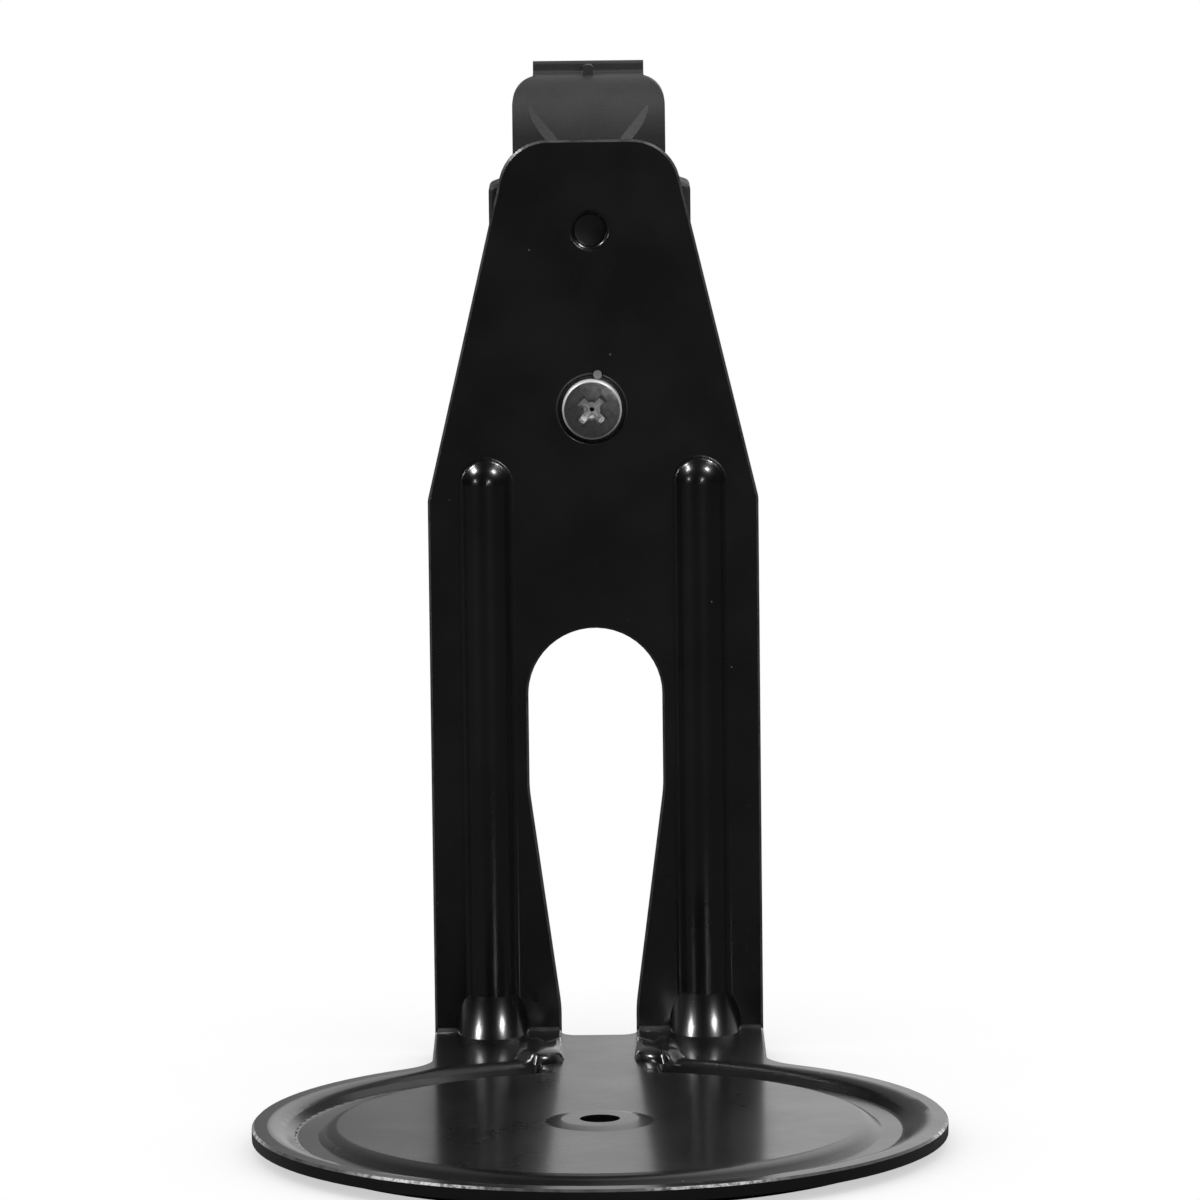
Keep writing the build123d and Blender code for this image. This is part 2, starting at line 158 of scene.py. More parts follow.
class Shop:
    """Adds the nodes of one node tree."""

    def __init__(self, tree: bpy.types.NodeTree) -> None:
        """Start from an empty tree."""
        self.tree = tree
        tree.nodes.clear()

    def make(self, kind: str, settings: dict[str, Any], sockets: dict[Any, Any]) -> bpy.types.Node:
        """Add one node.

        Args:
            kind: Type of the node.
            settings: What is set on the node itself, first of all.
            sockets: Value or link for each input, by name or number.

        Returns:
            The node.
        """
        node = self.tree.nodes.new(kind)
        for name, value in settings.items():
            setattr(node, name, value)
        for key, value in sockets.items():
            if isinstance(value, Socket):
                self.tree.links.new(value.output, node.inputs[key])
            else:
                node.inputs[key].default_value = value
        return node

    def node(self, kind: str, settings: dict[str, Any], sockets: dict[Any, Any],
             output: Any = 0) -> Socket:
        """Add one node and give one of its outputs.

        Args:
            kind: Type of the node.
            settings: What is set on the node itself.
            sockets: Value or link for each input.
            output: Name or number of the output.

        Returns:
            The output, ready for arithmetic.
        """
        return Socket(self, self.make(kind, settings, sockets).outputs[output])

    def place(self) -> Socket:
        """Object coordinates, in metres."""
        return self.node("ShaderNodeTexCoord", {}, {}, "Object")

    def noise(self, size: float, detail: float = 3.0, rough: float = 0.55,
              where: Union[Socket, None] = None) -> Socket:
        """Soft noise with lumps of one size.

        Args:
            size: Size of a lump in metres.
            detail: Number of finer layers.
            rough: Weight of the finer layers.
            where: Coordinates, or none for plain object coordinates.

        Returns:
            A value around one half.
        """
        return self.node(
            "ShaderNodeTexNoise",
            {},
            {"Vector": where or self.place(), "Scale": 1.0 / size, "Detail": detail, "Roughness": rough},
        )

    def specks(self, spacing: float, radius: float, bare: float = 0.55) -> Socket:
        """Small round specks, scattered at random.

        Args:
            spacing: Mean distance between cells in metres.
            radius: Greatest radius of a speck, as a share of the spacing.
            bare: Share of the cells that have no speck.

        Returns:
            One on a speck, zero beside it.
        """
        cells = self.make(
            "ShaderNodeTexVoronoi", {}, {"Vector": self.place(), "Scale": 1.0 / spacing}
        )
        distance = Socket(self, cells.outputs["Distance"])
        parts = self.make("ShaderNodeSeparateColor", {}, {0: Socket(self, cells.outputs["Color"])})
        chance = Socket(self, parts.outputs[0])
        return distance < (chance - bare) * (radius / (1.0 - bare))

    def mix(self, factor: Any, first: Any, second: Any) -> Socket:
        """Blend two colours.

        Args:
            factor: Share of the second colour.
            first: Colour or link.
            second: Colour or link.

        Returns:
            The blended colour.
        """
        return self.node(
            "ShaderNodeMix", {"data_type": "RGBA"}, {0: factor, 6: first, 7: second}, 2
        )

    def mark(self, name: str) -> Socket:
        """A number that the mesh carries at its points.

        Args:
            name: Name of the attribute.

        Returns:
            The number.
        """
        return self.node("ShaderNodeAttribute", {"attribute_name": name}, {}, "Fac")

    def bump(self, height: Socket, depth: float) -> Socket:
        """Raise the surface in the shading.

        Args:
            height: Height from zero to one.
            depth: What a height of one stands for, in metres.

        Returns:
            The bumped normal.
        """
        return self.node("ShaderNodeBump", {}, {"Height": height, "Strength": 1.0, "Distance": depth})

    def close(self, shader: bpy.types.Node) -> None:
        """Send a shader to the material's output."""
        end = self.make("ShaderNodeOutputMaterial", {}, {})
        self.tree.links.new(shader.outputs[0], end.inputs["Surface"])


def grey(level: float) -> tuple[float, float, float, float]:
    """A neutral colour of one linear level."""
    return (level, level, level, 1.0)


@dataclass(frozen=True)
class BlackPaint:
    """Semi-gloss black stoving paint with dust on it, thin paint along its edges that is also lightened
    as a painted highlight, and light scuffs along the rim's front that are partly painted highlight.
    """

    body: float = 0.0042
    dust: float = 0.22
    # Lighter colour of the thin paint on the edges, and of the painted highlight there.
    edge: float = 0.09
    # Colour of the light patches on the rim's front, partly bare metal and partly painted highlight.
    scuff_and_glint: float = 0.6
    gloss: float = 0.3
    coat: float = 0.8
    coat_gloss: float = 0.15
    refraction: float = 1.5
    cloud_size: float = 14.0 * MM
    cloud_span: tuple[float, float] = (0.3, 0.7)
    cloud_shades: tuple[float, float] = (0.8, 1.25)
    cloud_gloss: tuple[float, float] = (0.88, 1.15)
    wear_size: float = 1.8 * MM
    wear_span: tuple[float, float] = (0.25, 0.6)
    wear_least: float = 0.45
    wear_rough: float = 0.4
    peel_size: float = 1.6 * MM
    peel_depth: float = 0.0008 * MM
    dust_spacing: float = 3.0 * MM
    dust_radius: float = 0.06
    dust_cover: float = 0.8
    dust_rough: float = 0.6
    scuff_and_glint_front: float = -20.0 * MM
    scuff_and_glint_spans: tuple[tuple[float, float], ...] = ((-33.0 * MM, -16.0 * MM), (8.0 * MM, 23.0 * MM))
    scuff_and_glint_fade: float = 4.0 * MM
    scuff_and_glint_size: float = 0.9 * MM
    scuff_and_glint_patch: tuple[float, float] = (0.38, 0.56)

    def material(self) -> bpy.types.Material:
        """Build the paint.

        Returns:
            The finished material.
        """
        made = bpy.data.materials.new("black_paint")
        made.use_nodes = True
        shop = Shop(made.node_tree)
        clouds = shop.noise(self.cloud_size)
        specks = shop.specks(self.dust_spacing, self.dust_radius)
        wear = shop.noise(self.wear_size).ramp(*self.wear_span, self.wear_least, 1.0)
        # Thin paint and painted highlight: the marked edges and crease turn lighter and rougher, and
        # lose the coat.
        edge = shop.mark(EDGE_AND_HIGHLIGHT_MARK) * wear
        shades = [grey(self.body * share) for share in self.cloud_shades]
        body = shop.mix(clouds.ramp(*self.cloud_span), *shades)
        dusted = shop.mix(specks * self.dust_cover, body, grey(self.dust))
        # Light patches along the rim's front: bare scuffs and painted highlight together.
        scuffs_and_glints = self.scuffs_and_glints(shop)
        colour = shop.mix(scuffs_and_glints, shop.mix(edge, dusted, grey(self.edge)), grey(self.scuff_and_glint))
        sheens = [self.gloss * share for share in self.cloud_gloss]
        rough = clouds.ramp(*self.cloud_span, *sheens).most(specks * self.dust_rough)
        peel = shop.noise(self.peel_size, detail=2.0, rough=0.5)
        shop.close(shop.make("ShaderNodeBsdfPrincipled", {}, {
            "Base Color": colour,
            "Roughness": rough.most(edge * self.wear_rough),
            "IOR": self.refraction,
            "Coat Weight": (1.0 - edge.most(specks)) * self.coat,
            "Coat Roughness": self.coat_gloss,
            "Normal": shop.bump(peel, self.peel_depth),
        }))
        return made

    def scuffs_and_glints(self, shop: Shop) -> Socket:
        """Light scuffs along the front of the rim, partly bare metal and partly painted highlight.

        Args:
            shop: The paint's node tree.

        Returns:
            One on the light patches, zero on paint.
        """
        parts = shop.make("ShaderNodeSeparateXYZ", {}, {0: shop.place()})
        across, along = Socket(shop, parts.outputs["X"]), Socket(shop, parts.outputs["Y"])
        # Spans along the rim's front where the light scuffs and painted highlights go.
        rub_and_glint = across * 0.0
        for start, end in self.scuff_and_glint_spans:
            begun = across.ramp(start - self.scuff_and_glint_fade, start + self.scuff_and_glint_fade)
            rub_and_glint = rub_and_glint + begun * across.ramp(end - self.scuff_and_glint_fade, end + self.scuff_and_glint_fade, 1.0, 0.0)
        patches = shop.noise(self.scuff_and_glint_size, detail=3.0, rough=0.65).ramp(*self.scuff_and_glint_patch)
        return shop.mark(EDGE_AND_HIGHLIGHT_MARK) * rub_and_glint * patches * (along < self.scuff_and_glint_front)


@dataclass(frozen=True)
class GreyPlastic:
    """Matt dark grey moulded plastic with a fine spark-eroded grain."""

    body: float = 0.046
    gloss: float = 0.52
    refraction: float = 1.5
    flow_size: float = 9.0 * MM
    flow_span: tuple[float, float] = (0.3, 0.7)
    flow_shades: tuple[float, float] = (0.88, 1.12)
    grain_size: float = 0.32 * MM
    grain_depth: float = 0.03 * MM
    grain_span: tuple[float, float] = (0.3, 0.7)
    grain_gloss: tuple[float, float] = (0.9, 1.12)
    fleck_span: tuple[float, float] = (0.62, 0.75)
    fleck_cover: float = 0.3
    fleck_shade: float = 1.9
    pale: float = 0.3
    pip: tuple[float, float, float] = (0.9 * MM, 70.4 * MM, 103.97 * MM)
    pip_fade: tuple[float, float] = (0.81 * MM, 1.08 * MM)

    def material(self) -> bpy.types.Material:
        """Build the plastic.

        Returns:
            The finished material.
        """
        made = bpy.data.materials.new("grey_plastic")
        made.use_nodes = True
        shop = Shop(made.node_tree)
        flow = shop.noise(self.flow_size)
        grain = shop.noise(self.grain_size, detail=2.0, rough=0.6)
        shades = [grey(self.body * share) for share in self.flow_shades]
        body = shop.mix(flow.ramp(*self.flow_span), *shades)
        flecks = grain.ramp(*self.fleck_span) * self.fleck_cover
        grained = shop.mix(flecks, body, grey(self.body * self.fleck_shade))
        # The pip's tip is painted pale.
        colour = shop.mix(self.near_pip(shop), grained, grey(self.pale))
        sheens = [self.gloss * share for share in self.grain_gloss]
        shop.close(shop.make("ShaderNodeBsdfPrincipled", {}, {
            "Base Color": colour,
            "Roughness": grain.ramp(*self.grain_span, *sheens),
            "IOR": self.refraction,
            "Normal": shop.bump(grain, self.grain_depth),
        }))
        return made

    def near_pip(self, shop: Shop) -> Socket:
        """Find the tip of the locating pip, which is painted pale.

        Args:
            shop: The plastic's node tree.

        Returns:
            One on the tip, zero elsewhere.
        """
        distance = shop.node(
            "ShaderNodeVectorMath", {"operation": "DISTANCE"}, {0: shop.place(), 1: self.pip}, "Value"
        )
        return distance.ramp(*self.pip_fade, 1.0, 0.0)


@dataclass(frozen=True)
class Zinc:
    """Bright zinc plating, slightly clouded, with a painted highlight on the head's rim and in the
    recess.
    """

    name: str
    # Colour of the painted highlight on the rim and in the recess. The clouds mix some of it in.
    bright: float = 0.95
    dull: float = 0.2
    gloss: float = 0.3
    # Roughness and matt share of the painted highlight.
    glint_gloss: float = 0.42
    glint_matt: float = 0.75
    rim: tuple[float, float] = (4.12 * MM, 4.3 * MM)
    sunk: tuple[float, float] = (68.75 * MM, 69.0 * MM)
    axis: tuple[float, float, float] = (0.0, 0.0, 98.8 * MM)
    cloud_size: float = 0.9 * MM
    cloud_span: tuple[float, float] = (0.35, 0.65)
    cloud_bright: float = 0.18
    cloud_rough: float = 1.3
    groove: float = 0.16 * MM
    groove_depth: float = 0.01 * MM
    groove_span: tuple[float, float] = (0.4, 0.75)
    groove_rough: float = 0.1
    groove_drawn: float = 0.12

    def material(self) -> bpy.types.Material:
        """Build the plating.

        Returns:
            The finished material.
        """
        made = bpy.data.materials.new(self.name)
        made.use_nodes = True
        shop = Shop(made.node_tree)
        worn = shop.noise(self.cloud_size).ramp(*self.cloud_span)
        turned = shop.noise(self.groove, detail=3.0, rough=0.6, where=self.rings(shop))
        rub_and_glint = self.rub_and_glint(shop)
        # Painted highlight: the rim and the recess are coloured bright and made matt. Clouds lighten the
        # face at random.
        colour = shop.mix(rub_and_glint.most(worn * self.cloud_bright), grey(self.dull), grey(self.bright))
        cloudy = worn.ramp(0.0, 1.0, self.gloss * self.cloud_rough, self.gloss)
        face = cloudy + turned.ramp(*self.groove_span, 0.0, self.groove_rough)
        rough = face.most(rub_and_glint * self.glint_gloss)
        shop.close(shop.make("ShaderNodeBsdfPrincipled", {}, {
            "Base Color": colour,
            "Roughness": rough,
            "Metallic": 1.0 - rub_and_glint * self.glint_matt,
            "Normal": shop.bump(turned, self.groove_depth),
        }))
        return made

    def rub_and_glint(self, shop: Shop) -> Socket:
        """Where a highlight is painted bright on the plating: the head's rim and the recess.

        Args:
            shop: The plating's node tree.

        Returns:
            One on the painted highlight, zero on the dull face.
        """
        parts = shop.make("ShaderNodeSeparateXYZ", {}, {0: shop.place()})
        depth = Socket(shop, parts.outputs["Y"]).ramp(*self.sunk)
        return depth.most(self.radius(shop).ramp(*self.rim))

    def radius(self, shop: Shop) -> Socket:
        """Measure outwards from the thread's axis.

        Args:
            shop: The plating's node tree.

        Returns:
            Distance from the axis.
        """
        flat = shop.node(
            "ShaderNodeVectorMath", {"operation": "MULTIPLY"}, {0: self.offset(shop), 1: (1.0, 0.0, 1.0)}
        )
        return shop.node("ShaderNodeVectorMath", {"operation": "LENGTH"}, {0: flat}, "Value")

    def offset(self, shop: Shop) -> Socket:
        """Place measured from the thread's axis."""
        return shop.node(
            "ShaderNodeVectorMath", {"operation": "SUBTRACT"}, {0: shop.place(), 1: self.axis}
        )

    def rings(self, shop: Shop) -> Socket:
        """Coordinates that run out from the thread's axis, drawn out around it.

        Args:
            shop: The plating's node tree.

        Returns:
            Radius along X, with a little of the place kept beside it.
        """
        outwards = shop.node("ShaderNodeCombineXYZ", {}, {0: self.radius(shop)})
        drawn = shop.node(
            "ShaderNodeVectorMath", {"operation": "SCALE"},
            {0: self.offset(shop), "Scale": self.groove_drawn},
        )
        return shop.node("ShaderNodeVectorMath", {"operation": "ADD"}, {0: outwards, 1: drawn})


class Bench:
    """Mesh work that every piece shares."""

    @staticmethod
    def clear() -> None:
        """Leave edit mode and deselect everything."""
        if bpy.context.object and bpy.context.object.mode != "OBJECT":
            bpy.ops.object.mode_set(mode="OBJECT")
        bpy.ops.object.select_all(action="DESELECT")

    @staticmethod
    def hold(piece: bpy.types.Object) -> None:
        """Make a piece the only selected one, and the active one.

        Args:
            piece: The piece.
        """
        Bench.clear()
        piece.select_set(True)
        bpy.context.view_layer.objects.active = piece

    @staticmethod
    def merged_copy(node: Node, name: str) -> bpy.types.Object:
        """Copy a solid's mesh with its loose triangles joined.

        Args:
            node: The solid to copy.
            name: Name of the new piece.

        Returns:
            The new piece, at the origin.
        """
        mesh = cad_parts[node.value].data.copy()
        mesh.name = name
        kept = mesh.attributes.new(CURVE_MARK, "FLOAT_VECTOR", "CORNER")
        for held, corner in zip(kept.data, mesh.corner_normals):
            held.vector = corner.vector
        piece = bpy.data.objects.new(name, mesh)
        bpy.context.scene.collection.objects.link(piece)
        Bench.hold(piece)
        bpy.ops.mesh.customdata_custom_splitnormals_clear()
        bpy.ops.object.mode_set(mode="EDIT")
        bpy.ops.mesh.select_all(action="SELECT")
        bpy.ops.mesh.remove_doubles(threshold=WELD)
        bpy.ops.object.mode_set(mode="OBJECT")
        return piece

    @staticmethod
    def settle(piece: bpy.types.Object) -> None:
        """Shade a copied piece by the normals that it carries.

        Args:
            piece: The piece, with its normals still kept as a mark.
        """
        mesh = piece.data
        kept = mesh.attributes[CURVE_MARK]
        mesh.normals_split_custom_set([held.vector.copy() for held in kept.data])
        mesh.attributes.remove(mesh.attributes[CURVE_MARK])

    @staticmethod
    def turned(name: str, rings: list[tuple[float, float]], level: float,
               sides: int) -> bpy.types.Object:
        """Turn a closed piece about a line along Y.

        Args:
            name: Name of the new piece.
            rings: Radius and place along Y of each ring, from the far end to the near one.
            level: Height of the line.
            sides: Number of sides of a ring.

        Returns:
            The new piece, at the origin.
        """
        Bench.clear()
        radius, place = rings[0]
        bpy.ops.mesh.primitive_circle_add(
            vertices=sides, radius=radius, fill_type="NGON",
            location=(0.0, place, level), rotation=(math.pi / 2, 0.0, 0.0),
        )
        piece = bpy.context.object
        piece.name = name
        piece.data.name = name
        bpy.ops.object.transform_apply(location=True, rotation=True, scale=True)
        bpy.ops.object.mode_set(mode="EDIT")
        bpy.ops.mesh.select_all(action="SELECT")
        for (old, start), (new, end) in zip(rings, rings[1:]):
            bpy.ops.mesh.extrude_region_move(TRANSFORM_OT_translate={"value": (0.0, end - start, 0.0)})
            share = new / old
            bpy.ops.transform.resize(value=(share, 1.0, share), center_override=(0.0, end, level))
        bpy.ops.mesh.select_all(action="SELECT")
        bpy.ops.mesh.normals_make_consistent(inside=False)
        bpy.ops.object.mode_set(mode="OBJECT")
        return piece

    @staticmethod
    def join(piece: bpy.types.Object, tool: bpy.types.Object, how: Cut) -> None:
        """Cut or trim a piece with another one, which is used up.

        Args:
            piece: The piece.
            tool: The cutter.
            how: Whether the tool takes its shape away or keeps what lies within it.
        """
        Bench.hold(piece)
        cut = piece.modifiers.new("cut", "BOOLEAN")
        cut.operation = how.value
        cut.solver = "MANIFOLD"  # the exact solver's mesh differs a little from run to run
        cut.object = tool
        bpy.ops.object.modifier_apply(modifier=cut.name)
        bpy.data.objects.remove(tool)

    @staticmethod
    def smooth(piece: bpy.types.Object, angle: float) -> None:
        """Shade a piece smooth, with its flats kept flat.

        Args:
            piece: The piece.
            angle: Edges sharper than this stay sharp, in degrees.
        """
        Bench.hold(piece)
        bpy.ops.object.shade_smooth_by_angle(angle=math.radians(angle))
        weigh = piece.modifiers.new("flats", "WEIGHTED_NORMAL")
        weigh.keep_sharp = True
        weigh.weight = FLAT_WEIGHT
        bpy.ops.object.modifier_apply(modifier=weigh.name)

    @staticmethod
    def dress(piece: bpy.types.Object, finish: bpy.types.Material, slot: Slot, node: Node) -> None:
        """Give a piece its finish and its place in the model.

        Args:
            piece: The piece.
            finish: Its material.
            slot: Not used.
            node: The solid that the piece stands for.
        """
        piece.data.materials.clear()
        piece.data.materials.append(finish)
        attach(piece, BODY)
        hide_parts(node.value)
        log.info("%s: %d faces", piece.name, len(piece.data.polygons))


@dataclass(frozen=True)
class Lip:
    """The rounded mouth of a sinking pressed into the head plate."""

    level: float
    inner: float
    roll: float
    face: float = 70.8 * MM
    slack: float = 0.03 * MM

    def across(self, point: Vector) -> Vector:
        """Offset of a point from the sinking's middle line."""
        return Vector((point.x, 0.0, point.z - self.level))

    def holds(self, point: Vector) -> bool:
        """Whether a point lies on the lip.

        Args:
            point: Point of the stand.

        Returns:
            True on the lip.
        """
        radius, depth = self.across(point).length, point.y - self.face
        beside = -self.slack < radius - self.inner < self.roll + self.slack
        return beside and -self.slack < depth < self.roll + self.slack

    def normal(self, point: Vector) -> Vector:
        """Normal of a quarter-round lip.

        Args:
            point: Point on the lip.

        Returns:
            The unit normal.
        """
        out = self.across(point)
        reach = out.length - self.inner - self.roll
        depth = Vector((0.0, point.y - self.face - self.roll, 0.0))
        return (out.normalized() * reach + depth).normalized()


@dataclass(frozen=True)
class RibBlend:
    """The sloped blend round one rib, shaded as the hollow curve of a pressing."""

    side: float
    face: float = 70.8 * MM
    dome: float = 87.45 * MM
    inner: float = 3.246 * MM
    outer: float = 4.229 * MM
    crown_end: float = 35.03
    slack: float = 0.03 * MM

    def across(self, point: Vector) -> Vector:
        """Offset of a point from the rib's middle line or from its dome's middle."""
        return Vector((point.x - self.side, 0.0, max(point.z - self.dome, 0.0)))

    def holds(self, point: Vector) -> bool:
        """Whether a point lies on the blend.

        Args:
            point: Point of the stand.

        Returns:
            True on the blend.
        """
        radius = self.across(point).length
        beside = self.inner - self.slack < radius < self.outer + self.slack
        return beside and point.y < self.face + self.slack

    def normal(self, point: Vector) -> Vector:
        """Normal of the curve from the rib's crown to the plate.

        Args:
            point: Point on the blend.

        Returns:
            The unit normal.
        """
        out = self.across(point)
        turn = math.radians(self.crown_end)
        plate = Vector((0.0, -1.0, 0.0))
        crown = out.normalized() * math.cos(turn) + plate * math.sin(turn)
        share = (out.length - self.inner) / (self.outer - self.inner)
        return crown.lerp(plate, min(max(share, 0.0), 1.0)).normalized()


@dataclass(frozen=True)
class SoftRing:
    """A sloped ring on the upper side of the base, shaded as part of a curve."""

    inner: float
    outer: float
    inner_tilt: float
    outer_tilt: float
    low: float = 1.95 * MM
    slack: float = 0.05 * MM
    strip_half: float = 9.0 * MM
    strip_start: float = 36.0 * MM

    def holds(self, point: Vector) -> bool:
        """Whether a point lies on the ring, clear of the strip that crosses it.

        Args:
            point: Point of the stand.

        Returns:
            True on the ring.
        """
        radius = math.hypot(point.x, point.y)
        beside = self.inner - self.slack < radius < self.outer + self.slack
        behind = point.y > 0.0 and radius > self.strip_start
        crossed = behind and abs(point.x) < self.strip_half
        return beside and point.z > self.low and not crossed

    def normal(self, point: Vector) -> Vector:
        """Normal of the curve.

        Args:
            point: Point on the ring.

        Returns:
            The unit normal.
        """
        out = Vector((point.x, point.y, 0.0))
        share = (out.length - self.inner) / (self.outer - self.inner)
        tilt = math.radians(self.inner_tilt + share * (self.outer_tilt - self.inner_tilt))
        return out.normalized() * math.sin(tilt) + Vector((0.0, 0.0, math.cos(tilt)))


@dataclass
class RaisedMiddle:
    """The middle of the base and the strip behind it, lifted to the level of the rim."""

    sheet: float = 2.0 * MM
    floor_top: float = 2.0 * MM
    plateau: float = 37.3 * MM
    plateau_spread: float = 0.4 * MM
    plateau_lift: float = 1.15 * MM
    step: float = 40.1 * MM
    step_spread: float = -0.5 * MM
    step_lift: float = 0.5 * MM
    strip_lift: float = 1.5 * MM
    strip_half: float = 8.6 * MM
    strip_foot: float = 9.3 * MM
    channel_start: float = 43.0 * MM
    channel_half: float = 9.85 * MM
    channel_fade: float = 11.3 * MM
    nose_fade: tuple[float, float] = (49.0 * MM, 60.0 * MM)
    nose_over: float = 2.0 * MM
    nose_power: float = 0.4
    neck_over: float = 0.2 * MM
    neck_rise: float = 1.7 * MM
    shelf: tuple[float, float] = (9.6 * MM, 44.3 * MM)
    channel_end: float = 69.95 * MM
    nose_half: float = 16.0 * MM
    nose_foot: float = 3.7 * MM
    nose_top: float = 4.6 * MM
    nose_lift: float = 0.9 * MM
    slack: float = 0.06 * MM
    step_high: float = 0.4 * MM
    slice_start: float = 18.65 * MM
    top: float = 9.2 * MM
    bent: float = 2.0

    def shape(self, piece: bpy.types.Object) -> None:
        """Lift the middle of a stand's copy.

        Args:
            piece: The stand.
        """
        for side in (-1.0, 1.0):
            for place in (self.strip_half, self.strip_foot):
                self.slice(piece, side * place)
        moves = [self.move(point.co, point.normal.z > 0.0) for point in piece.data.vertices]
        for point, move in zip(piece.data.vertices, moves):
            point.co += move
        piece.data.update()
        self.free_normals(piece)

    def slice(self, piece: bpy.types.Object, place: float) -> None:
        """Cut the ring round the plateau along one side of the strip.

        Args:
            piece: The stand.
            place: Place of the cut across the stand.
        """
        Bench.hold(piece)
        bpy.ops.object.mode_set(mode="EDIT")
        bpy.ops.mesh.select_mode(type="FACE")
        bpy.ops.mesh.select_all(action="DESELECT")
        bpy.ops.object.mode_set(mode="OBJECT")
        mesh = piece.data
        for face in mesh.polygons:
            points = [mesh.vertices[i].co for i in face.vertices]
            low = max(point.z for point in points) < self.floor_top + self.step_high
            ringed = max(math.hypot(point.x, point.y) for point in points) > self.plateau + self.slack
            face.select = low and ringed and max(point.y for point in points) > self.slice_start
        bpy.ops.object.mode_set(mode="EDIT")
        bpy.ops.mesh.bisect(plane_co=(place, 0.0, 0.0), plane_no=(1.0, 0.0, 0.0))
        bpy.ops.mesh.select_mode(type="VERT")
        bpy.ops.object.mode_set(mode="OBJECT")

    def move(self, place: Vector, upper: bool) -> Vector:
        """Move of one point of the stand.

        Args:
            place: The point.
            upper: Whether it lies on the sheet's upper side.

        Returns:
            The move.
        """
        radius = math.hypot(place.x, place.y)
        rise = place.z - self.floor_top + (0.0 if upper else self.sheet)
        if rise < -self.slack or rise > self.nose_top - self.floor_top + self.slack:
            return Vector()
        out = Vector((place.x, place.y, 0.0)).normalized()
        if radius < self.plateau + self.slack:
            edge = radius > self.plateau - self.slack
            return Vector((0.0, 0.0, self.plateau_lift)) + out * (self.plateau_spread if edge else 0.0)
        across, ring = abs(place.x), place.y < self.channel_start
        if ring and place.y > 0.0 and across < self.strip_half + self.slack and rise < self.step_high:
            return Vector((0.0, 0.0, self.strip_lift - rise))
        if ring and abs(radius - self.step) < self.slack:
            return Vector((0.0, 0.0, self.step_lift)) + out * self.step_spread
        return Vector((0.0, 0.0, 0.0 if ring else self.nose_move(across, place.y, rise)))

    def nose_move(self, across: float, along: float, rise: float) -> float:
        """Lift of a point of the channel or of a nose beside it.

        Args:
            across: Distance from the stand's middle plane.
            along: Place along the stand.
            rise: Height over the channel's floor.

        Returns:
            The lift.
        """
        if rise < self.slack and across < self.channel_half:
            return self.strip_lift
        if along > self.channel_end:
            return 0.0
        near, far = self.nose_fade
        share = min(max((far - along) / (far - near), 0.0), 1.0)
        wide = min(max((self.channel_fade - across) / (self.channel_fade - self.channel_half), 0.0), 1.0)
        high = max(rise, 0.0) / (self.nose_top - self.floor_top)
        tall = self.strip_lift + self.nose_over * high**self.nose_power - rise
        flush = self.strip_lift + self.neck_over * min(rise / self.neck_rise, 1.0) - rise
        inner = share * tall + (1.0 - share) * max(flush, 0.0)
        aside, front = self.shelf
        if across > aside and along < front:
            inner = max(self.strip_lift - rise, 0.0)
        over = (rise + self.floor_top - self.nose_foot) / (self.nose_top - self.nose_foot)
        outer = share * max(over, 0.0) * self.nose_lift if across < self.nose_half else 0.0
        return max(wide * inner, outer)

    def free_normals(self, piece: bpy.types.Object) -> None:
        """Let go of the kept normals of the faces that have turned.

        Args:
            piece: The stand.
        """
        mesh = piece.data
        curves = mesh.attributes[CURVE_MARK].data
        for face in mesh.polygons:
            if face.center.z > self.top:
                continue
            kept = sum((curves[i].vector for i in face.loop_indices), Vector())
            if kept.length > 0.0 and kept.angle(face.normal) > math.radians(self.bent):
                for corner in face.loop_indices:
                    curves[corner].vector = Vector()


